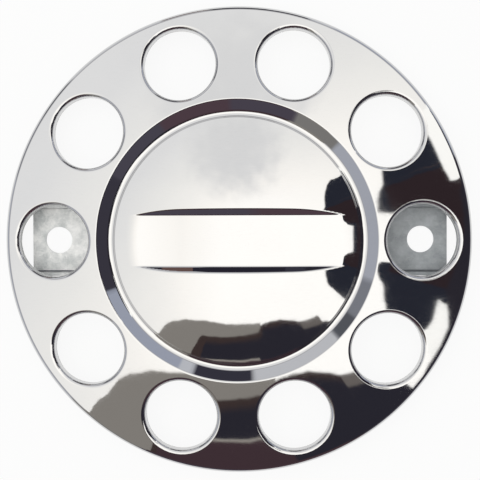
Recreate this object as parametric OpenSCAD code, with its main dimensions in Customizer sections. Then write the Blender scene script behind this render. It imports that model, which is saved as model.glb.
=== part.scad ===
// Front wheel cover for a 22.5 inch truck wheel with ten studs on a 335 mm circle.
// One pressed stainless shell and two galvanised stud brackets welded under its flange.
// The cover lies flat on its rim: Z is the wheel axis, the dome points up, z = 0 is the rim edge.

/* [Shell] */
// Distance of the rim's outer face from the lug openings
rim_margin = 12; // [10:0.5:18]
// Thickness of the pressed sheet
sheet = 1.5; // [1.2:0.1:2]
// Height of the flange over the rim edge, measured at the lug circle
flange_height = 38; // [34:0.5:42]
// Radius of the shallow ball shape of the flange
flange_crown = 1000; // [800:10:1300]
// Radius of the rounded outer corner
rim_corner = 5; // [4:0.5:8]

/* [Lug openings] */
// Number of openings round the flange
lug_count = 10; // [10:1:10]
// Diameter of the stud circle
stud_circle = 335; // [330:1:340]
// Clear diameter of each opening
lug_opening = 65; // [58:0.5:66]
// Radius of the rolled-in lip of an opening
lug_lip = 4; // [3:0.5:5]
// Depth of the drawn collar under the flange
lug_collar = 9; // [7:0.5:11]

/* [Bevel and valley] */
// Distance of the crest's bend middle from the lug openings
crest_margin = 7.1; // [6:0.1:8]
// Bend radius of the crest
crest_bend = 2.5; // [2.3:0.1:3]
// Slope of the bevel that faces the dome
bevel_slope = 38; // [34:1:42]
// Distance between the middles of the crest's bend and the valley's bend
valley_inset = 13; // [12:0.2:14]
// Bend radius of the valley round the dome
valley_bend = 5.4; // [4.4:0.1:6]

/* [Dome] */
// Radius of the shallow ball shape of the dome
dome_crown = 500; // [460:10:560]
// Radius of the rounded dome shoulder
dome_shoulder = 2.5; // [2.3:0.1:4]
// Slope of the short wall that rises from the valley to the shoulder
dome_wall_slope = 36; // [34:1:40]
// Straight length of that wall
dome_wall = 0.2; // [0.1:0.1:1]

/* [Recessed band] */
// Width of the flat floor of the band
band_floor = 46.2; // [40:0.2:52]
// Depth of the band at the middle of the dome
band_depth = 5.5; // [4.5:0.1:6]
// Slope of the two step walls
band_wall_slope = 39; // [36:1:45]
// Radius of the middle stretch of the floor
band_crown = 600; // [560:10:640]
// Radius of the upturned ends of the floor
band_run_out = 430; // [400:10:470]
// Half length of the middle stretch
band_middle = 50; // [44:1:54]
// Distance from the shoulder's middle at which the cut for the floor stops, past where it runs out
band_stop = 7; // [4:0.5:9]

/* [Brackets] */
// Thickness of the bracket plate
plate = 3; // [2.5:0.5:3]
// Width between the side flanges
bracket_inside = 60; // [58:1:61]
// Distance of the outer edge from the stud hole's edge
plate_beyond = 11.95; // [9:0.05:14]
// Distance of the inner edge from the stud hole's edge
plate_before = 30.25; // [29:0.25:31]
// Height of the side flanges
side_flange = 12; // [10:1:14]
// Inner bend radius of the side flanges
side_bend = 2; // [1:0.5:3]
// Diameter of the stud hole
stud_hole = 24.5; // [24:0.5:26]
// Radius of the outer plate corners
plate_corner = 6; // [4:1:8]
// Distance of a weld ear from the bracket's inner edge
ear_setback = 4; // [3:0.5:5]
// Length of a weld ear along the bracket
ear_length = 15; // [12:0.5:15]
// Width of a weld ear beside the side flange
ear_width = 14; // [10:1:16]
// Gap left by the weld between ear and sheet
weld_gap = 0.1; // [0.05:0.05:0.2]

/* [Hidden] */
$fa = 1;
$fs = 1.5;
steel_bright = [0.80, 0.81, 0.83];
steel_zinc = [0.62, 0.64, 0.65];
// Bends meet the next surface this far past the tangent, so that each edge is a clean crossing
bend_pass = 0.03;
// Room past a face, so that no cut ends on it
past = 1;
lug_radius = stud_circle / 2;
rim_radius = lug_radius + lug_opening / 2 + rim_margin;
crest_radius = lug_radius - lug_opening / 2 - crest_margin;
// Middles of the two ball shapes and of the bends, as [distance from axis, height]
flange_middle = flange_height - sqrt(pow(flange_crown, 2) - pow(lug_radius, 2));
crest_reach = flange_crown - crest_bend + bend_pass;
crest_middle = [crest_radius, flange_middle + sqrt(pow(crest_reach, 2) - pow(crest_radius, 2))];
bevel_out = [-sin(bevel_slope), cos(bevel_slope)];
bevel_along = [cos(bevel_slope), sin(bevel_slope)];
valley_x = crest_radius - valley_inset;
valley_lift = valley_bend + crest_bend - 2 * bend_pass - bevel_out.x * (valley_x - crest_radius);
valley_middle = [valley_x, crest_middle.y + valley_lift / bevel_out.y];
wall_out = [sin(dome_wall_slope), cos(dome_wall_slope)];
wall_along = [-cos(dome_wall_slope), sin(dome_wall_slope)];
shoulder_drop = valley_bend + dome_shoulder - 2 * bend_pass;
shoulder_middle = valley_middle - wall_out * shoulder_drop + wall_along * dome_wall;
shoulder_reach = dome_crown - dome_shoulder + bend_pass;
dome_middle = shoulder_middle.y - sqrt(pow(shoulder_reach, 2) - pow(shoulder_middle.x, 2));
dome_top = dome_middle + dome_crown;
room_over = dome_top + 20;
lug_tilt = asin(lug_radius / flange_crown);
band_turn = asin(band_middle / band_crown);
band_end = shoulder_middle.x - band_stop;
bracket_reach = lug_radius + stud_hole / 2 + plate_beyond;
bracket_start = lug_radius - stud_hole / 2 - plate_before;
ear_start = bracket_start + ear_setback;
ear_wall = bracket_inside / 2 + plate;

rim_middle = [rim_radius - rim_corner + bend_pass,
              flange_middle + sqrt(pow(flange_crown - rim_corner + bend_pass, 2)
                                   - pow(rim_radius - rim_corner + bend_pass, 2))];

function unit(v) = v / norm(v);

// Half outline of the flange's ball cap with its rounded corner and upright rim, drawn in by depth
module flange_outline(depth, base) {
    corner_end = rim_middle.x * (1 + (rim_corner - depth) / (flange_crown - rim_corner + bend_pass));
    intersection() {
        translate([0, flange_middle]) circle(flange_crown - depth);
        translate([0, base]) square([rim_radius - depth, room_over - base]);
        union() {
            translate([0, base]) square([corner_end, room_over - base]);
            translate(rim_middle) circle(rim_corner - depth);
            translate([0, base]) square([rim_radius + past, rim_middle.y - base]);
        }
    }
}

// Half outline of the dome with its rounded shoulder and short sloped wall, drawn in by depth
module dome_outline(depth, base) {
    shoulder_end = shoulder_middle.x * (1 + (dome_shoulder - depth) / shoulder_reach);
    wall_point = shoulder_middle + wall_out * (dome_shoulder - bend_pass - depth);
    wall_high = wall_point + wall_along * (room_over - wall_point.y) / wall_along.y;
    wall_low = wall_point + wall_along * (base - wall_point.y) / wall_along.y;
    reach = 3 * dome_shoulder;
    intersection() {
        translate([0, dome_middle]) circle(dome_crown - depth);
        polygon([[0, base], [0, room_over], wall_high, wall_low]);
        union() {
            translate([0, base]) square([shoulder_end, room_over - base]);
            translate(shoulder_middle) circle(dome_shoulder - depth);
            polygon([shoulder_middle, shoulder_middle + wall_out * reach,
                     [shoulder_middle.x + wall_out.x * reach, base], [shoulder_middle.x, base]]);
        }
    }
}

// Half outline of the room over the bevel and the valley, and over the dome as far as the axis
module valley_outline(depth) {
    bevel_foot = valley_middle - bevel_out * (valley_bend - bend_pass + depth);
    bevel_far = bevel_foot + bevel_along * 3 * valley_inset;
    wall_side = valley_middle - wall_out * (valley_bend - bend_pass + depth + past / 2);
    crest_out = unit(crest_middle - [0, flange_middle]);
    reach = 3 * crest_bend;
    polygon([valley_middle, bevel_foot, bevel_far, [valley_middle.x, bevel_far.y]]);
    translate(valley_middle) circle(valley_bend + depth);
    polygon([valley_middle, wall_side, [0, wall_side.y], [0, bevel_far.y], [valley_middle.x, bevel_far.y]]);
    difference() {
        polygon([crest_middle, crest_middle + bevel_out * reach,
                 crest_middle + (bevel_out + crest_out) * reach, crest_middle + crest_out * reach]);
        translate(crest_middle) circle(crest_bend - depth);
    }
}

module body_outline(depth, base) {
    difference() {
        flange_outline(depth, base);
        valley_outline(depth);
    }
    dome_outline(depth, base);
}

// Half outline of a lug opening: lip rounding, then the collar wall down to the given depth
module lug_outline(depth, bottom) {
    opening = lug_opening / 2;
    lip = [opening + lug_lip - bend_pass,
           sqrt(pow(flange_crown - lug_lip + bend_pass, 2)
                - pow(opening + lug_lip - bend_pass, 2)) - flange_crown];
    lip_far = lip + unit(lip + [0, flange_crown]) * 2 * lug_lip;
    difference() {
        polygon([[0, lip.y], lip, lip_far, [0, lip_far.y]]);
        translate(lip) circle(lug_lip - depth);
    }
    translate([0, -bottom]) square([opening + depth, bottom + lug_lip]);
}

module lug_openings(depth, bottom) {
    for (i = [0:lug_count - 1])
        rotate([0, 0, i * 360 / lug_count])
            translate([lug_radius, 0, flange_height])
                rotate([0, lug_tilt, 0])
                    rotate_extrude() lug_outline(depth, bottom);
}

// Side view of the room over the band floor, with the floor lowered by depth
module band_room(depth) {
    low = dome_top - 4 * band_depth;
    crown_middle = dome_top - band_depth - band_crown;
    run_out = [0, crown_middle] + (band_crown + band_run_out) * [sin(band_turn), cos(band_turn)];
    difference() {
        translate([-band_middle, low]) square([2 * band_middle, room_over - low]);
        translate([0, crown_middle]) circle(band_crown - depth);
    }
    for (side = [0, 1]) mirror([side, 0]) intersection() {
        translate([band_middle, low]) square([band_end - band_middle, room_over - low]);
        translate(run_out) circle(band_run_out + depth);
    }
}

// The recessed band: a straight middle and two step walls that follow the floor line
module band(depth) {
    half = band_floor / 2 + depth * tan(band_wall_slope / 2);
    wall_reach = 3 * band_depth;
    rotate([90, 0, 0]) linear_extrude(height = 2 * half, center = true) band_room(depth);
    for (side = [0, 1]) mirror([0, side, 0])
        multmatrix([[1, 0, 0, 0],
                    [0, 1, 0, half],
                    [0, tan(band_wall_slope), 1, 0],
                    [0, 0, 0, 1]])
            translate([0, wall_reach, 0])
                rotate([90, 0, 0]) linear_extrude(height = wall_reach) band_room(depth);
}

module shell_form(depth, base, lug_bottom) {
    difference() {
        rotate_extrude() body_outline(depth, base);
        band(depth);
        lug_openings(depth, lug_bottom);
    }
}

module cover_shell() {
    color(steel_bright) difference() {
        shell_form(0, 0, 2 * flange_height);
        shell_form(sheet, -past, lug_collar);
    }
}

module channel_section() {
    outer = bracket_inside / 2 + plate;
    turn = side_bend + plate;
    difference() {
        union() {
            translate([-outer, turn]) square([2 * outer, side_flange - turn]);
            translate([turn - outer, 0]) square([2 * (outer - turn), side_flange]);
            for (side = [-1, 1]) translate([side * (outer - turn), turn]) circle(turn);
        }
        translate([-bracket_inside / 2, turn]) square([bracket_inside, side_flange]);
        translate([side_bend - bracket_inside / 2, plate])
            square([bracket_inside - 2 * side_bend, side_flange]);
        for (side = [-1, 1])
            translate([side * (bracket_inside / 2 - side_bend), turn]) circle(side_bend);
    }
}

// Rounds the two outer corners of the plate, seen from above
module corner_rounding() {
    outer = bracket_inside / 2 + plate;
    for (side = [0, 1]) mirror([0, side, 0])
        translate([bracket_reach - plate_corner, outer - plate_corner, -past])
            difference() {
                cube([plate_corner + past, plate_corner + past, side_flange + 2 * past]);
                translate([0, 0, -past]) cylinder(r = plate_corner, h = side_flange + 4 * past);
            }
}

// Upright ear with its foot turned out under the flange, on one side of the bracket
module weld_ear() {
    under = flange_crown - sheet - weld_gap;
    intersection() {
        translate([0, 0, flange_middle]) sphere(under);
        translate([ear_start, ear_wall - plate, side_flange / 2])
            cube([ear_length, plate, flange_height + 3 * plate]);
    }
    difference() {
        intersection() {
            translate([0, 0, flange_middle]) sphere(under);
            translate([ear_start, ear_wall - plate, side_flange])
                cube([ear_length, plate + ear_width, flange_height]);
        }
        translate([0, 0, flange_middle]) sphere(under - plate);
    }
}

module bracket() {
    difference() {
        translate([bracket_start, 0, 0]) rotate([90, 0, 90])
            linear_extrude(height = bracket_reach - bracket_start) channel_section();
        corner_rounding();
        translate([lug_radius, 0, -past]) cylinder(d = stud_hole, h = plate + 2 * past);
    }
    for (side = [0, 1]) mirror([0, side, 0]) weld_ear();
}

module bracket_left() {
    color(steel_zinc) rotate([0, 0, 180]) bracket();
}

module bracket_right() {
    color(steel_zinc) bracket();
}

cover_shell();
bracket_left();
bracket_right();
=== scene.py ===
import math

import bpy
import numpy as np
from mathutils import Matrix, Vector


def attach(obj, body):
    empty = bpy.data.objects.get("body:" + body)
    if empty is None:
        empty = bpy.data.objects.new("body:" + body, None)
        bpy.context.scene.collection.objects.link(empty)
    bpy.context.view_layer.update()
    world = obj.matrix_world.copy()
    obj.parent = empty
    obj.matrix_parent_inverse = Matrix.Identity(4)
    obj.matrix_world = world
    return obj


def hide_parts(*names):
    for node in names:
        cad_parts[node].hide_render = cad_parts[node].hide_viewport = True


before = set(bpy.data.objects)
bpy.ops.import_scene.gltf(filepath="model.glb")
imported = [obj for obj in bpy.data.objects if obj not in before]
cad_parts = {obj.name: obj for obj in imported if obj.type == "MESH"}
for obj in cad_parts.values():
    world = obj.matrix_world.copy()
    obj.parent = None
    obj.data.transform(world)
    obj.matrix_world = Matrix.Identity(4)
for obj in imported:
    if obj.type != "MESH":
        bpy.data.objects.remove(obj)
scene = bpy.context.scene
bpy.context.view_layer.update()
mm = 0.001

# The camera looks down on the cover, which lies flat on its rim, from a little to the upper right.
# Its place is in metres and its tilt in radians. The focal length is in pixels of the square frame.
camera = {
    "place": (0.0525, 0.0342, 1.2546),
    "tilt": (-0.0278, 0.0409, -0.0037),
    "focalPixels": 1351.8,
    "framePixels": 480,
    "sensor": 36.0,
    "farthest": 50,
}

# Sizes of the pressed shell in millimetres. Heights are over the rim edge.
shell = {
    "rimRadius": 212.0, "rimCorner": 5.0, "sheet": 1.5,
    "flangeHeight": 38.0, "flangeCrown": 1000.0, "studCircle": 335.0,
    "lugCount": 10, "lugOpening": 65.0, "lugLip": 4.0, "lugCollar": 9.0,
    "crestRadius": 127.9, "crestBend": 2.5, "bevelSlope": 38.0,
    "valleyBend": 5.4, "valleyInset": 13.0,
    "domeCrown": 500.0, "domeShoulder": 2.5, "domeWallSlope": 36.0, "domeWall": 0.2,
    "bandFloor": 46.2, "bandDepth": 5.5, "bandWallSlope": 39.0,
    "bandCrown": 600.0, "bandRunOut": 430.0, "bandMiddle": 50.0,
    "edgeBlend": 1.0, "footBlend": 0.6,
}

# Mesh steps along each bend and row, fine enough for a mirror finish and under 200,000 triangles.
# The turns are counted over a quarter; nearWall says how far the finest part reaches past the step
# wall's foot, in and out.
steps = {
    "shoulder": 14, "valley": 20, "bevel": 2, "crest": 6, "rimCorner": 9,
    "lip": 9, "collar": 3, "flange": 9, "sectorSide": 19, "dishAcross": 64,
    "turnBand": 7, "turnWall": 28, "turnSector": 22, "nearWall": (2.5, 9.0),
}


def arcPoints(middle, radius, start, end, count):
    # Points and outward normals of an arc; angles are measured from the axis, outwards
    a = np.radians(np.linspace(start, end, count + 1))
    n = np.stack([np.sin(a), np.cos(a)], 1)
    return np.asarray(middle) + radius * n, n


def shellPlaces(s):
    # Middles of the two ball shapes and of the bends, each bend tangent to its neighbours
    p = {}
    lug = s["studCircle"] / 2
    p["lugRadius"] = lug
    p["flangeMiddle"] = s["flangeHeight"] - math.sqrt(s["flangeCrown"] ** 2 - lug ** 2)
    p["lugTilt"] = math.asin(lug / s["flangeCrown"])
    reach = s["flangeCrown"] - s["crestBend"]
    p["crest"] = (s["crestRadius"],
                  p["flangeMiddle"] + math.sqrt(reach ** 2 - s["crestRadius"] ** 2))
    p["crestTilt"] = math.degrees(math.asin(s["crestRadius"] / reach))
    slope = math.radians(s["bevelSlope"])
    valleyX = s["crestRadius"] - s["valleyInset"]
    lift = s["valleyBend"] + s["crestBend"] - math.sin(slope) * s["valleyInset"]
    p["valley"] = (valleyX, p["crest"][1] + lift / math.cos(slope))
    wall = math.radians(s["domeWallSlope"])
    drop = s["valleyBend"] + s["domeShoulder"]
    p["shoulder"] = (valleyX - math.sin(wall) * drop - math.cos(wall) * s["domeWall"],
                     p["valley"][1] - math.cos(wall) * drop + math.sin(wall) * s["domeWall"])
    reach = s["domeCrown"] - s["domeShoulder"]
    p["domeMiddle"] = p["shoulder"][1] - math.sqrt(reach ** 2 - p["shoulder"][0] ** 2)
    p["shoulderTilt"] = math.degrees(math.asin(p["shoulder"][0] / reach))
    p["discRadius"] = s["domeCrown"] * p["shoulder"][0] / reach
    cornerX = s["rimRadius"] - s["rimCorner"]
    reach = s["flangeCrown"] - s["rimCorner"]
    p["corner"] = (cornerX, p["flangeMiddle"] + math.sqrt(reach ** 2 - cornerX ** 2))
    p["cornerTilt"] = math.degrees(math.asin(cornerX / reach))
    p["cornerRadius"] = s["flangeCrown"] * cornerX / reach
    p["domeTop"] = p["domeMiddle"] + s["domeCrown"]
    return p


place = shellPlaces(shell)


def domeHeightAt(x, y):
    # Height of the dome: a ball shape, pressed down to the band floor and its two step walls. Where
    # two heights meet they are blended, by a quarter of the blend times their nearness squared.
    s, p = shell, place
    ball = p["domeMiddle"] + np.sqrt(s["domeCrown"] ** 2 - x ** 2 - y ** 2)
    a = np.abs(x)
    turn = math.asin(s["bandMiddle"] / s["bandCrown"])
    low = p["domeTop"] - s["bandDepth"] - s["bandCrown"]
    runX = (s["bandCrown"] + s["bandRunOut"]) * math.sin(turn)
    runZ = low + (s["bandCrown"] + s["bandRunOut"]) * math.cos(turn)
    middle = low + np.sqrt(s["bandCrown"] ** 2 - np.minimum(a, s["bandMiddle"]) ** 2)
    ends = runZ - np.sqrt(s["bandRunOut"] ** 2 - (np.maximum(a, s["bandMiddle"]) - runX) ** 2)
    floor = np.where(a < s["bandMiddle"], middle, ends)
    wall = floor + (np.abs(y) - s["bandFloor"] / 2) * math.tan(math.radians(s["bandWallSlope"]))
    h = np.clip(1 - np.abs(wall - floor) / s["footBlend"], 0, 1)
    band = np.maximum(floor, wall) + h * h * s["footBlend"] / 4
    h = np.clip(1 - np.abs(ball - band) / s["edgeBlend"], 0, 1)
    return np.minimum(ball, band) - h * h * s["edgeBlend"] / 4


def roundAngles():
    # Angles round the shell: fine where the step walls meet the dome's edge, and on sector bounds
    edge = place["discRadius"]
    half = shell["bandFloor"] / 2
    low = math.degrees(math.asin((half - steps["nearWall"][0]) / edge))
    high = math.degrees(math.asin((half + steps["nearWall"][1]) / edge))
    bound = 180 / shell["lugCount"]
    spans = [(0, low, steps["turnBand"]), (low, high, steps["turnWall"]), (high, bound, 1),
             (bound, 3 * bound, steps["turnSector"]), (3 * bound, 90, steps["turnSector"])]
    quarter = np.concatenate([np.linspace(a, b, n, endpoint=False) for a, b, n in spans])
    right = np.concatenate([-quarter[:0:-1], quarter])
    left = 180 - right[::-1]
    top = np.array([90.0])
    return np.concatenate([right, top, left, top + 180])


class Sheet:
    # Collects patches of the outer surface with their normals, and the rings where the sheet ends
    def __init__(self):
        self.points, self.normals, self.quads, self.count = [], [], [], 0
        self.rims = []

    def patch(self, points, normals, closeRound=False):
        # A grid of points, rows by columns; with closeRound the last column joins the first
        rows, columns = points.shape[:2]
        index = np.arange(rows * columns).reshape(rows, columns) + self.count
        right = np.roll(index, -1, 1) if closeRound else index[:, 1:]
        left = index if closeRound else index[:, :-1]
        self.quads.append(np.stack([left[:-1], right[:-1], right[1:], left[1:]], -1).reshape(-1, 4))
        self.points.append(points.reshape(-1, 3))
        self.normals.append(normals.reshape(-1, 3))
        self.count += rows * columns
        return index

    def rim(self, index):
        # A closed ring of points where the sheet ends
        self.rims.append(index)


def revolved(profile, normals, angles):
    # Points of an outline (distance, height) turned to each angle round the axis
    a = np.radians(angles)
    c, s = np.cos(a)[None, :], np.sin(a)[None, :]
    points = np.stack([profile[:, :1] * c, profile[:, :1] * s, profile[:, 1:] + 0 * c], -1)
    return points, np.stack([normals[:, :1] * c, normals[:, :1] * s, normals[:, 1:] + 0 * c], -1)


def dish(sheet, angles):
    # Middle of the dome: rows of constant y, each stretched to the disc's edge and lifted to height
    edge = place["discRadius"]
    right = angles[angles <= 90]
    y = edge * np.sin(np.radians(right))
    half = np.sqrt(np.maximum(edge ** 2 - y ** 2, 0))
    x = half[:, None] * np.linspace(-1, 1, steps["dishAcross"] + 1)[None, :]
    y = y[:, None] + 0 * x
    z = domeHeightAt(x, y)
    # Slopes from heights a small reach to each side, in millimetres
    reach = 0.03
    slopeX = (domeHeightAt(x + reach, y) - domeHeightAt(x - reach, y)) / (2 * reach)
    slopeY = (domeHeightAt(x, y + reach) - domeHeightAt(x, y - reach)) / (2 * reach)
    normals = np.stack([-slopeX, -slopeY, np.ones_like(z)], -1)
    normals /= np.linalg.norm(normals, axis=-1, keepdims=True)
    sheet.patch(np.stack([x, y, z], -1), normals)


def domeEdge(sheet, angles):
    # Dome shoulder, upright wall, valley, bevel and crest, turned round the axis
    s, p = shell, place
    slope, wall = s["bevelSlope"], s["domeWallSlope"]
    shoulder, shoulderN = arcPoints(p["shoulder"], s["domeShoulder"], p["shoulderTilt"], wall,
                                    steps["shoulder"])
    valley, valleyN = arcPoints(p["valley"], -s["valleyBend"], wall, -slope, steps["valley"])
    crest, crestN = arcPoints(p["crest"], s["crestBend"], -slope, p["crestTilt"], steps["crest"])
    mix = np.linspace(0, 1, steps["bevel"] + 1)[1:-1, None]
    bevel = valley[-1] + mix * (crest[0] - valley[-1])
    profile = np.concatenate([shoulder, valley, bevel, crest])
    normals = np.concatenate([shoulderN, valleyN, np.repeat(crestN[:1], len(bevel), 0), crestN])
    points, normals = revolved(profile, normals, angles)
    sheet.patch(points[::-1], normals[::-1], closeRound=True)
    return profile[-1, 0]


def rimEdge(sheet, angles):
    # The rounded rim corner and the upright skirt down to the rim edge
    s, p = shell, place
    corner, cornerN = arcPoints(p["corner"], s["rimCorner"], p["cornerTilt"], 90,
                                steps["rimCorner"])
    profile = np.concatenate([corner, [[s["rimRadius"], 0.0]]])
    normals = np.concatenate([cornerN, cornerN[-1:]])
    points, normals = revolved(profile, normals, angles)
    index = sheet.patch(points[::-1], normals[::-1], closeRound=True)
    sheet.rim(index[0][::-1])


def flangeSector(sheet, angles, number, crestEnd):
    # One tenth of the flange, in rings from the collar's end over the lip to the sector's bounds
    s, p = shell, place
    centre = 360.0 / s["lugCount"] * number
    halfSector = 180.0 / s["lugCount"]
    local = (angles - centre + 180) % 360 - 180
    slack = 0.01  # degrees, so that the two bounds are counted in
    own = np.sort(np.round(local[np.abs(local) < halfSector + slack], 6))
    inner = np.full_like(own, crestEnd)
    outer = np.full_like(own, p["cornerRadius"])
    side = np.linspace(crestEnd, p["cornerRadius"], steps["sectorSide"] + 1)[1:-1]
    bound = np.full_like(side, halfSector)
    r = np.concatenate([outer, side[::-1], inner, side])
    a = np.concatenate([own, bound, own[::-1], -bound])
    boundX, boundY = r * np.cos(np.radians(a)), r * np.sin(np.radians(a))

    # The lug's own axis stands square on the ball shape, so it leans out by the tilt
    c, t = math.cos(p["lugTilt"]), math.sin(p["lugTilt"])
    turn = np.arctan2(boundY, (boundX - p["lugRadius"]) / c)
    opening = s["lugOpening"] / 2
    lipX = opening + s["lugLip"]
    lipZ = math.sqrt((s["flangeCrown"] - s["lugLip"]) ** 2 - lipX ** 2) - s["flangeCrown"]
    lean = math.degrees(math.asin(lipX / (s["flangeCrown"] - s["lugLip"])))
    lip, lipN = arcPoints((lipX, lipZ), s["lugLip"], lean, -90, steps["lip"])
    depth = np.linspace(lipZ, -s["lugCollar"], steps["collar"] + 1)[1:]
    collar = np.stack([np.full_like(depth, opening), depth], 1)
    outline = np.concatenate([lip, collar])[::-1]
    outlineN = np.concatenate([lipN, np.repeat(lipN[-1:], len(collar), 0)])[::-1]
    along, up = outline[:, :1] * np.cos(turn), outline[:, 1:] + 0 * turn
    x = p["lugRadius"] + along * c + up * t
    y = outline[:, :1] * np.sin(turn)
    z = s["flangeHeight"] - along * t + up * c
    nAlong, nUp = outlineN[:, :1] * np.cos(turn), outlineN[:, 1:] + 0 * turn
    nx, ny, nz = nAlong * c + nUp * t, outlineN[:, :1] * np.sin(turn), nUp * c - nAlong * t

    mix = np.linspace(0, 1, steps["flange"] + 1)[1:, None]
    flatX = x[-1] + mix * (boundX - x[-1])
    flatY = y[-1] + mix * (boundY - y[-1])
    flatN = np.hypot(flatX, flatY) / s["flangeCrown"]
    flatZ = p["flangeMiddle"] + s["flangeCrown"] * np.sqrt(1 - flatN ** 2)
    x, y, z = np.concatenate([x, flatX]), np.concatenate([y, flatY]), np.concatenate([z, flatZ])
    nx = np.concatenate([nx, flatX / s["flangeCrown"]])
    ny = np.concatenate([ny, flatY / s["flangeCrown"]])
    nz = np.concatenate([nz, np.sqrt(1 - flatN ** 2)])
    ca, sa = math.cos(math.radians(centre)), math.sin(math.radians(centre))
    points = np.stack([x * ca - y * sa, x * sa + y * ca, z], -1)
    normals = np.stack([nx * ca - ny * sa, nx * sa + ny * ca, nz], -1)
    index = sheet.patch(points[::-1], normals[::-1], closeRound=True)
    sheet.rim(index[-1])


def joined(sheet):
    # Merges points that patches share, gives the sheet its thickness and closes its edges
    points = np.concatenate(sheet.points)
    normals = np.concatenate(sheet.normals)
    rounded = np.round(points, 3)  # to a thousandth of a millimetre
    _, first, same = np.unique(rounded, axis=0, return_index=True, return_inverse=True)
    same = same.ravel()
    outer, outerN = points[first], normals[first]
    quads = same[np.concatenate(sheet.quads)]
    inner = outer - shell["sheet"] * outerN
    total = len(outer)
    surface = np.concatenate([quads, quads[:, ::-1] + total])
    edges = []
    for ring in sheet.rims:
        ring = same[ring]
        after = np.roll(ring, -1)
        edges.append(np.stack([after, ring, ring + total, after + total], 1))
    points = np.concatenate([outer, inner])
    return points, np.concatenate([outerN, -outerN]), surface, np.concatenate(edges)


def sheetMesh(points, normals, surface, edges):
    # Mesh of the sheet with its exact normals; the cut edges of the sheet stay flat
    faces = [list(dict.fromkeys(f)) for f in np.concatenate([surface, edges]).tolist()]
    faces = [f for f in faces if len(f) > 2]
    mesh = bpy.data.meshes.new("coverShell")
    mesh.from_pydata((points * mm).tolist(), [], faces)
    mesh.update()
    sizes = np.zeros(len(faces), np.int32)
    mesh.polygons.foreach_get("loop_total", sizes)
    corners = np.zeros(len(mesh.loops), np.int32)
    mesh.loops.foreach_get("vertex_index", corners)
    flat = np.zeros(len(faces) * 3)
    mesh.polygons.foreach_get("normal", flat)
    flat = np.repeat(flat.reshape(-1, 3), sizes, 0)
    perCorner = normals[corners]
    onEdge = np.repeat(np.arange(len(faces)) >= len(faces) - len(edges), sizes)
    perCorner[onEdge] = flat[onEdge]
    mesh.polygons.foreach_set("use_smooth", np.ones(len(faces), bool))
    mesh.normals_split_custom_set(perCorner.tolist())
    agree = np.einsum("ij,ij->i", flat, perCorner).min()
    print("shell:", len(points), "points,", len(faces), "faces, worst normal",
          round(float(agree), 3))
    return mesh


def makeShell():
    angles = roundAngles()
    sheet = Sheet()
    dish(sheet, angles)
    crestEnd = domeEdge(sheet, angles)
    rimEdge(sheet, angles)
    for number in range(shell["lugCount"]):
        flangeSector(sheet, angles, number, crestEnd)
    piece = bpy.data.objects.new("cover_shell_sheet", sheetMesh(*joined(sheet)))
    scene.collection.objects.link(piece)
    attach(piece, "root")
    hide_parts("cover_shell")
    return piece


# Colours are written as sRGB hex and turned to the linear values that Blender works in.
def colour(code):
    parts = [int(code[i:i + 2], 16) / 255 for i in (1, 3, 5)]
    linear = [v / 12.92 if v <= 0.04045 else ((v + 0.055) / 1.055) ** 2.4 for v in parts]
    return (*linear, 1.0)


def addNode(tree, kind, settings=None, **inputs):
    # Adds a node. Settings are its own properties. An input is a value or a socket to link from,
    # under its name with _ for a space, or under in0, in1 and so on for its place in the row.
    node = tree.nodes.new("ShaderNode" + kind)
    for name, value in (settings or {}).items():
        setattr(node, name, value)
    for name, value in inputs.items():
        byPlace = name[:2] == "in" and name[2:].isdigit()
        socket = node.inputs[int(name[2:]) if byPlace else name.replace("_", " ")]
        if isinstance(value, bpy.types.NodeSocket):
            tree.links.new(value, socket)
        else:
            socket.default_value = value
    return node


def maths(tree, operation, *values):
    row = {"in" + str(number): value for number, value in enumerate(values)}
    return addNode(tree, "Math", {"operation": operation}, **row).outputs["Value"]


def noise(tree, where, scale, detail, roughness=0.5):
    node = addNode(tree, "TexNoise", Vector=where, Scale=scale, Detail=detail, Roughness=roughness)
    return node.outputs["Fac"]


def mapRange(tree, value, source, target=(0.0, 1.0), kind="LINEAR"):
    node = addNode(tree, "MapRange", {"interpolation_type": kind}, Value=value,
                   From_Min=source[0], From_Max=source[1], To_Min=target[0], To_Max=target[1])
    return node.outputs["Result"]


def mixColour(tree, share, first, second):
    node = addNode(tree, "Mix", {"data_type": "RGBA"}, in0=share, in6=first, in7=second)
    return node.outputs[2]


def colourRamp(tree, value, stops):
    # A ramp through the colour stops, at most 32
    node = addNode(tree, "ValToRGB", Fac=value)
    ramp = node.color_ramp.elements
    ramp[0].position, ramp[0].color = stops[0][0], colour(stops[0][1])
    ramp[1].position, ramp[1].color = stops[-1][0], colour(stops[-1][1])
    for position, code in stops[1:-1]:
        ramp.new(position).color = colour(code)
    return node.outputs["Color"]


def perMetre(size):
    # Pattern scale for a feature of this size in millimetres
    return 1000 / size


def newMaterial(name):
    material = bpy.data.materials.new(name)
    material.use_nodes = True
    tree = material.node_tree
    tree.nodes.clear()
    return material, tree


# Mirror-polished stainless steel: a clear, neutral mirror with the long soft waves of drawn sheet,
# and a few hairline wipe marks that only haze the reflection. Sizes are in millimetres.
stainless = {
    "tint": "#D4D4D4", "haze": "#CACACB", "roughness": 0.035,
    "hazeRange": (0.2, 0.45), "roughSpread": (0.6, 1.8),
    "waveSize": 90.0, "waveHeight": 0.06, "wipeSize": 6.0, "wipeStretch": 9.0, "patchSize": 70.0,
}


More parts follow.
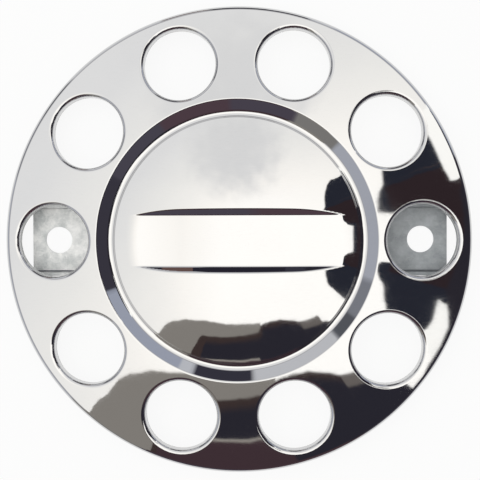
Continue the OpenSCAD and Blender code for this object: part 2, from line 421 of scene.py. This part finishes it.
def mirrorStainless():
    s = stainless
    material, tree = newMaterial("mirror-polished stainless")
    where = addNode(tree, "TexCoord").outputs["Object"]
    wave = noise(tree, where, perMetre(s["waveSize"]), detail=1.5, roughness=0.4)
    bump = addNode(tree, "Bump", Strength=1.0, Distance=s["waveHeight"] * mm, Height=wave)
    stretch = addNode(tree, "Mapping", Vector=where, Scale=(1.0, s["wipeStretch"], 1.0))
    wipe = noise(tree, stretch.outputs["Vector"], perMetre(s["wipeSize"]),
                 detail=4.0, roughness=0.6)
    patch = noise(tree, where, perMetre(s["patchSize"]), detail=2.0)
    both = maths(tree, "MULTIPLY", wipe, patch)
    rough = mapRange(tree, both, s["hazeRange"], [s["roughness"] * v for v in s["roughSpread"]])
    tint = mixColour(tree, both, colour(s["tint"]), colour(s["haze"]))
    shader = addNode(tree, "BsdfPrincipled", Metallic=1.0, Base_Color=tint, Roughness=rough,
                     Normal=bump.outputs["Normal"])
    addNode(tree, "OutputMaterial", Surface=shader.outputs["BSDF"])
    return material


# Galvanised steel: a dull zinc skin with soft spangle, fine pits and pale handling scratches, and a
# painted dark line along the fold at -Y that stands for the shade and dark reflection in the bend.
# Sizes are in millimetres.
zincSkin = {
    "spangleSize": 5.0, "spangleShare": 0.12, "cloudSize": 14.0, "mottleRange": (0.38, 0.76),
    "scratchSize": 9.0, "scratchStretch": 14.0, "scratchTurn": 0.6, "scratchRange": (0.60, 0.70),
    "sideShadeShare": 0.10, "roughRange": (0.3, 1.0), "roughSpread": (-0.08, 0.12),
    "grainSize": 1.2, "pitHeight": 0.06, "pitStrength": 0.5,
    "foldPlace": 28.8, "foldReach": (1.0, 0.3),
}

# The two brackets' own colours, with painted shade. The fold colour is a painted dark line in the
# bend.
# The zinc is painted darker at the first X, in metres, where the shell's opening shades it,
# brighter at the second.
zinc = {
    "left": {"name": "galvanised steel, bright", "base": "#F8F8F6", "dark": "#B6BABA",
             "scratch": "#FBFBFA", "foldShade": "#4A4A54", "roughness": 0.42, "metallic": 0.3,
             "shadeAlong": (-0.205, -0.130)},
    "right": {"name": "galvanised steel, dull", "base": "#B0B4B7", "dark": "#8C9194",
              "scratch": "#C2C5C8", "foldShade": "#5A5D61", "roughness": 0.5, "metallic": 0.35,
              "shadeAlong": (0.215, 0.120)},
}


def galvanised(own):
    s = zincSkin
    material, tree = newMaterial(own["name"])
    where = addNode(tree, "TexCoord").outputs["Object"]
    side = addNode(tree, "SeparateXYZ", Vector=where)
    spangle = addNode(tree, "TexVoronoi", {"feature": "F1"}, Vector=where,
                      Scale=perMetre(s["spangleSize"]), Randomness=1.0)
    grey = addNode(tree, "SeparateColor", Color=spangle.outputs["Color"]).outputs[0]
    cloud = noise(tree, where, perMetre(s["cloudSize"]), detail=6.0, roughness=0.65)
    mottled = maths(tree, "MULTIPLY_ADD", grey, s["spangleShare"], cloud)
    # Painted shade: the zinc gets darker towards the side that the shell's opening shades
    lean = mapRange(tree, side.outputs["X"], own["shadeAlong"], (-s["sideShadeShare"], s["sideShadeShare"]))
    mottled = maths(tree, "ADD", mottled, lean)
    share = mapRange(tree, mottled, s["mottleRange"])
    skin = mixColour(tree, share, colour(own["dark"]), colour(own["base"]))

    turned = addNode(tree, "Mapping", Vector=where, Rotation=(0.0, 0.0, s["scratchTurn"]),
                     Scale=(1.0, s["scratchStretch"], 1.0))
    scratch = noise(tree, turned.outputs["Vector"], perMetre(s["scratchSize"]),
                    detail=5.0, roughness=0.75)
    lines = mapRange(tree, scratch, s["scratchRange"])
    skin = mixColour(tree, lines, skin, colour(own["scratch"]))

    # Painted shade: a dark line along the fold at -Y, in place of the shade and dark reflection in
    # the bend
    fromFold = maths(tree, "ADD", side.outputs["Y"], s["foldPlace"] * mm)
    fromFold = maths(tree, "ABSOLUTE", fromFold)
    foldShade = mapRange(tree, fromFold, [v * mm for v in s["foldReach"]], kind="SMOOTHSTEP")
    skin = mixColour(tree, foldShade, skin, colour(own["foldShade"]))

    rough = mapRange(tree, mottled, s["roughRange"],
                     [own["roughness"] + v for v in s["roughSpread"]])
    grain = noise(tree, where, perMetre(s["grainSize"]), detail=3.0, roughness=0.7)
    bump = addNode(tree, "Bump", Strength=s["pitStrength"], Distance=s["pitHeight"] * mm,
                   Height=maths(tree, "ADD", grain, lines))
    shader = addNode(tree, "BsdfPrincipled", Metallic=own["metallic"], Base_Color=skin,
                     Roughness=rough, Normal=bump.outputs["Normal"])
    addNode(tree, "OutputMaterial", Surface=shader.outputs["BSDF"])
    return material


def dressNode(name, material):
    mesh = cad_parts[name].data
    mesh.materials.clear()
    mesh.materials.append(material)


# Studio: a pale floor, a soft lamp overhead, and round the cover a half ball of screens that only
# the polished metal reflects. Places are in metres.
studio = {
    "floor": "#F2F2F0", "floorSize": 6.0, "floorGlow": 0.90, "ambient": 0.55,
    "lampSize": 2.6, "lampPlace": (-0.5, 0.4, 2.4), "lampPower": 26.0,
    "screenRadius": 4.0, "screenGlow": 1.6, "screenRows": 40, "screenColumns": 96,
    "screenReach": (0.5, 92),  # degrees from straight up, of the first row and the last
}


def seenWhite(tree):
    # One for a ray from the camera, a mirror or a clear piece, zero for the light on the object
    path = addNode(tree, "LightPath")
    seen = maths(tree, "MAXIMUM", path.outputs["Is Camera Ray"], path.outputs["Is Glossy Ray"])
    return maths(tree, "MAXIMUM", seen, path.outputs["Is Transmission Ray"])


def makeFloor():
    half = studio["floorSize"] / 2
    corners = [(-half, -half, 0), (half, -half, 0), (half, half, 0), (-half, half, 0)]
    mesh = bpy.data.meshes.new("floor")
    mesh.from_pydata(corners, [], [(0, 1, 2, 3)])
    floor = bpy.data.objects.new("floor", mesh)
    scene.collection.objects.link(floor)
    material, tree = newMaterial("pale studio floor")
    share = maths(tree, "MULTIPLY", seenWhite(tree), studio["floorGlow"])
    paint = addNode(tree, "BsdfDiffuse", Color=colour(studio["floor"]))
    glow = addNode(tree, "Emission", Color=(1, 1, 1, 1), Strength=1.0)
    both = addNode(tree, "MixShader", in0=share, in1=paint.outputs["BSDF"],
                   in2=glow.outputs["Emission"])
    addNode(tree, "OutputMaterial", Surface=both.outputs["Shader"])
    mesh.materials.append(material)


# Sky: palest overhead and over the yard at -Y, greyer down towards the far left, with soft clouds
# and one grey cloud. Each stop is a greyness and its colour. Directions point from the cover, and
# the reach is in degrees.
skyLook = {
    "stops": [(0.08, "#FDFBF7"), (0.20, "#F6F3EE"), (0.36, "#E4E3E0"), (0.52, "#D8D8D8")],
    "fall": 0.55, "lean": (-0.29, 0.36, 0.0), "cloudScale": 1.1, "cloudShare": 0.10,
    "greyCloud": "#D2D2D2", "greyMiddle": (-0.050, 0.380, 0.924), "greyReach": (15, 1),
    "greyRagged": 0.025,
}

# Each screen covers all that lies further from straight up than its edge. An edge is a line of
# points: azimuth counted from +X, and distance from straight up, both in degrees. Where it stands
# at never, the screen is left out. Soft is the width of its blur in degrees.
never = 180.0
screens = [
    {"name": "dusk", "colour": "#9C9B9D", "soft": 9.0,
     "edge": [(0, 44), (30, 46), (210, 50), (240, 40), (300, 40), (330, 40), (360, 44)]},
    {"name": "grey yard", "colour": "#7C7873", "soft": 0.7,
     "edge": [(0, never), (225.6, never), (226.6, 34.5), (227.4, 31.6), (229.3, 29.6),
              (232, 28.1), (237, 26.0), (243, 24.9), (249, 24.1), (265, 23.3), (279, 23.0),
              (281, never), (360, never)]},
    {"name": "yard wall", "colour": "#382E2D", "soft": 0.6,
     "edge": [(0, never), (243.6, never), (244.6, 30.5), (246.2, 28.4), (256, 27.4), (266, 26.2),
              (277.5, 25.6), (278.6, 23.6), (285, 23.2), (291, 23.5), (298, 25.2), (301, 26.4),
              (305, 27.4), (308, 29.5), (313, 30.5), (316, 34.6), (317, never), (360, never)]},
    {"name": "yard shade", "colour": "#26252D", "soft": 2.0,
     "edge": [(0, never), (246, never), (248, 30.0), (266, 27.8), (278, 27.0), (279.5, 24.6),
              (292, 24.8), (299, 26.6), (304, 28.6), (309, 30.4), (314, 32), (316, 35),
              (317, never), (360, never)]},
    {"name": "grey crate", "colour": "#615C59", "soft": 0.6,
     "edge": [(0, never), (299.5, never), (300.4, 26.5), (306, 27.2), (312, 27.9), (313, never),
              (360, never)]},
    {"name": "crate shade", "colour": "#26252D", "soft": 0.8,
     "edge": [(0, never), (299, never), (300.4, 28.6), (310, 30.3), (313, 30.6), (314, never),
              (360, never)]},
    {"name": "kerb", "colour": "#8B8680", "soft": 0.4,
     "edge": [(0, never), (243.5, never), (245, 34.9), (257.7, 33.2), (271.2, 32.5), (277, 32.3),
              (278, never), (360, never)]},
    {"name": "brown ground", "colour": "#3C2E33", "soft": 0.5,
     "edge": [(0, never), (243, never), (245, 35.4), (257.7, 33.7), (271.2, 33.0), (279, 32.8),
              (281, 37.5), (300, 37.5), (314, 38.5), (316, never), (360, never)]},
    {"name": "dark house", "colour": "#23252E", "soft": 0.6,
     "edge": [(0, 27.7), (4.8, 27.7), (6.4, 23.5), (7.6, 19.6), (12.9, 19.9), (17.4, 20.7),
              (19, 21.5), (25, 22.2), (28, 23.0), (31.5, 24.4), (33, 26.7), (33.6, 31),
              (34.5, never), (325, never), (326.2, 31), (326.6, 25.9), (328.7, 24.2),
              (331.9, 23.1), (337.1, 22.0), (340.8, 20.6), (344, 19.8), (346.4, 20.8), (348, 24),
              (349.2, 27.9), (360, 27.7)]},
    {"name": "brown gate", "colour": "#2B2225", "soft": 1.0,
     "edge": [(0, 28.6), (6, 28.6), (7.5, 21.6), (18.8, 21.6), (19.1, never), (340, never),
              (342, 22), (348, 22.4), (349.4, 28.6), (360, 28.6)]},
    {"name": "gate post", "colour": "#54453F", "soft": 0.5,
     "edge": [(0, never), (18.7, never), (19.0, 23.4), (20.2, 23.4), (20.5, never), (360, never)]},
    {"name": "white door", "colour": "#F6F5F1", "soft": 0.5,
     "edge": [(0, never), (11.6, never), (12.8, 33.0), (13.2, 31.9), (16.6, 31.4), (20.4, 31.1),
              (27.6, 31.0), (36.0, 31.0), (37.5, never), (322.5, never), (324, 31.2),
              (329.1, 30.7), (330.6, 31.3), (333.3, 31.4), (336.2, 31.1), (338.8, 30.8),
              (339.4, 30.7), (340.2, 32.2), (340.6, never), (360, never)]},
    {"name": "dark ground", "colour": "#27252C", "soft": 0.6,
     "edge": [(0, 33.0), (11.8, 33.0), (12.8, 34.2), (14, 36.5), (26, 38), (34, 52), (36, never),
              (293, never), (295, 37.0), (315, 35.2), (323.7, 34.6), (329.8, 34.3),
              (333.6, 34.0), (334.6, 33.7), (340.1, 32.3), (341.5, 31.4), (360, 33.0)]},
]

# Low things round the yard, seen by the bevel, the step walls and the lips: from one azimuth to
# the next. They start where the distance from straight up lies between the two lowStart degrees.
lowStart = (60, 65)
lowBlur = 0.6
lowThings = [
    {"name": "dark house", "from": 0, "colour": "#35333C"},
    {"name": "blue haze", "from": 20.8, "colour": "#9297A5"},
    {"name": "pale haze", "from": 67, "colour": "#B0B2B8"},
    {"name": "parked van", "from": 73.5, "colour": "#31303A"},
    {"name": "pale gravel", "from": 99.5, "colour": "#B4B5B9"},
    {"name": "hedge", "from": 139, "colour": "#505258"},
    {"name": "hedge top", "from": 150, "colour": "#74767D"},
    {"name": "pale gravel", "from": 166, "colour": "#9A9DA6"},
    {"name": "grey fence", "from": 223, "colour": "#73716F"},
    {"name": "fence shade", "from": 243, "colour": "#443F49"},
    {"name": "brick wall", "from": 270, "colour": "#493A41"},
    {"name": "open shed", "from": 300, "colour": "#43404A"},
    {"name": "dark house", "from": 330, "colour": "#35333C"},
]

# Screens that stand in front of the low things.
lowScreens = [
    {"name": "pale ground", "colour": "#C4C5C8", "soft": 4.0,
     "edge": [(0, 87), (360, 87)]},
    {"name": "under the van", "colour": "#23222B", "soft": 1.2,
     "edge": [(0, never), (82, never), (84, 73.2), (112, 73.2), (114, never), (360, never)]},
    {"name": "rusty sill", "colour": "#5E4A46", "soft": 1.2,
     "edge": [(0, never), (97.0, never), (99.5, 73.2), (112, 73.2), (114, never), (360, never)]},
]

# Small unevenness of all edges: noise scale, and shares of a full turn and of a half turn.
ripple = {"scale": 4.5, "azimuth": 0.007, "polar": 0.004}


def edgeLine(tree, azimuth, points):
    # Height of an edge line at an azimuth, both as shares of the full scale
    node = addNode(tree, "FloatCurve", Value=azimuth)
    line = node.mapping.curves[0]
    spots = [(a / 360, t / 180) for a, t in points]
    line.points[0].location, line.points[1].location = spots[0], spots[-1]
    for spot in spots[1:-1]:
        line.points.new(*spot)
    for point in line.points:
        point.handle_type = "VECTOR"
    node.mapping.update()
    return node.outputs["Value"]


def screenOver(tree, picture, screen, azimuth, polar):
    # Lays one screen's colour over all that is past its edge line
    past = maths(tree, "SUBTRACT", polar, edgeLine(tree, azimuth, screen["edge"]))
    soft = screen["soft"] / 360
    mask = mapRange(tree, past, (-soft, soft), kind="SMOOTHSTEP")
    return mixColour(tree, mask, picture, colour(screen["colour"]))


def lowStops():
    # Ramp stops for the low things: each colour holds to its end, then changes in the blur's width
    stops = [(0.0, lowThings[0]["colour"])]
    for before, after in zip(lowThings, lowThings[1:]):
        stops += [((after["from"] - lowBlur) / 360, before["colour"]),
                  ((after["from"] + lowBlur) / 360, after["colour"])]
    return stops + [(1.0, lowThings[-1]["colour"])]


def along(tree, where, direction):
    # Share of the way that a place on the half ball lies in a direction
    node = addNode(tree, "VectorMath", {"operation": "DOT_PRODUCT"}, in0=where,
                   in1=tuple(v / studio["screenRadius"] for v in direction))
    return node.outputs["Value"]


def skyPicture(tree, where, angle, shift):
    # Greyness of the sky = fall * sin(angle from straight up) + lean . direction + clouds
    s = skyLook
    cloud = noise(tree, where, s["cloudScale"], detail=3.0)
    cloud = maths(tree, "MULTIPLY_ADD", cloud, s["cloudShare"], -s["cloudShare"] / 2)
    low = maths(tree, "SINE", angle)
    greyness = maths(tree, "MULTIPLY_ADD", low, s["fall"], along(tree, where, s["lean"]))
    sky = colourRamp(tree, maths(tree, "ADD", greyness, cloud), s["stops"])
    near = along(tree, where, s["greyMiddle"])
    near = maths(tree, "MULTIPLY_ADD", shift, s["greyRagged"], near)
    reach = [math.cos(math.radians(v)) for v in s["greyReach"]]
    veil = mapRange(tree, near, reach, kind="SMOOTHSTEP")
    return mixColour(tree, veil, sky, colour(s["greyCloud"]))


def screenMaterial():
    material, tree = newMaterial("painted studio screens")
    where = addNode(tree, "TexCoord").outputs["Object"]
    parts = addNode(tree, "SeparateXYZ", Vector=where)
    shift = maths(tree, "SUBTRACT", noise(tree, where, ripple["scale"], detail=2.0), 0.5)
    turn = maths(tree, "ARCTAN2", parts.outputs["Y"], parts.outputs["X"])
    turn = maths(tree, "MULTIPLY", turn, 0.5 / math.pi)
    azimuth = maths(tree, "FRACT", maths(tree, "MULTIPLY_ADD", shift, ripple["azimuth"], turn))
    lift = maths(tree, "DIVIDE", parts.outputs["Z"], studio["screenRadius"])
    angle = maths(tree, "ARCCOSINE", lift)
    polar = maths(tree, "MULTIPLY", angle, 1 / math.pi)
    polar = maths(tree, "MULTIPLY_ADD", shift, ripple["polar"], polar)

    picture = skyPicture(tree, where, angle, shift)
    for screen in screens:
        picture = screenOver(tree, picture, screen, azimuth, polar)
    mask = mapRange(tree, polar, [v / 180 for v in lowStart], kind="SMOOTHSTEP")
    picture = mixColour(tree, mask, picture, colourRamp(tree, azimuth, lowStops()))
    for screen in lowScreens:
        picture = screenOver(tree, picture, screen, azimuth, polar)
    glow = addNode(tree, "Emission", Color=picture, Strength=studio["screenGlow"])
    addNode(tree, "OutputMaterial", Surface=glow.outputs["Emission"])
    return material


def makeScreens():
    # Half ball over the cover, as a grid of azimuth by distance from straight up
    rows, columns = studio["screenRows"], studio["screenColumns"]
    azimuth = np.linspace(0, 2 * np.pi, columns + 1)[:-1]
    polar = np.radians(np.linspace(*studio["screenReach"], rows))
    p, a = np.meshgrid(polar, azimuth, indexing="ij")
    points = np.stack([np.sin(p) * np.cos(a), np.sin(p) * np.sin(a), np.cos(p)], -1)
    points = studio["screenRadius"] * points.reshape(-1, 3)
    index = np.arange(rows * columns).reshape(rows, columns)
    after = np.roll(index, -1, 1)
    quads = np.stack([index[:-1], index[1:], after[1:], after[:-1]], -1).reshape(-1, 4).tolist()
    mesh = bpy.data.meshes.new("screens")
    mesh.from_pydata(points.tolist(), [], quads + [index[0].tolist()])
    ball = bpy.data.objects.new("screens", mesh)
    scene.collection.objects.link(ball)
    mesh.materials.append(screenMaterial())
    ball.visible_camera = False
    ball.visible_diffuse = False
    ball.visible_shadow = False


def makeLight():
    world = bpy.data.worlds.new("studio")
    scene.world = world
    world.use_nodes = True
    tree = world.node_tree
    tree.nodes.clear()
    strength = mapRange(tree, seenWhite(tree), (0.0, 1.0), (studio["ambient"], 1.0))
    back = addNode(tree, "Background", Color=(1, 1, 1, 1), Strength=strength)
    addNode(tree, "OutputWorld", Surface=back.outputs["Background"])
    lamp = bpy.data.lights.new("overheadLamp", "AREA")
    lamp.shape = "DISK"
    lamp.size = studio["lampSize"]
    lamp.energy = studio["lampPower"]
    holder = bpy.data.objects.new("overheadLamp", lamp)
    holder.matrix_world = Matrix.Translation(studio["lampPlace"])
    holder.visible_glossy = False
    holder.visible_camera = False
    scene.collection.objects.link(holder)


def makeCamera():
    c = camera
    data = bpy.data.cameras.new("camera")
    data.sensor_width = c["sensor"]
    data.lens = c["focalPixels"] / c["framePixels"] * c["sensor"]
    data.clip_end = c["farthest"]
    holder = bpy.data.objects.new("camera", data)
    holder.location = Vector(c["place"])
    holder.rotation_euler = c["tilt"]
    scene.collection.objects.link(holder)
    scene.camera = holder


makeCamera()
makeFloor()
makeScreens()
makeLight()
print("studio: camera, floor, screens and lamp")

cover = makeShell()
cover.data.materials.append(mirrorStainless())
dressNode("bracket_left", galvanised(zinc["left"]))
dressNode("bracket_right", galvanised(zinc["right"]))
print("brackets: zinc finish on both")

scene.view_settings.view_transform = "Standard"
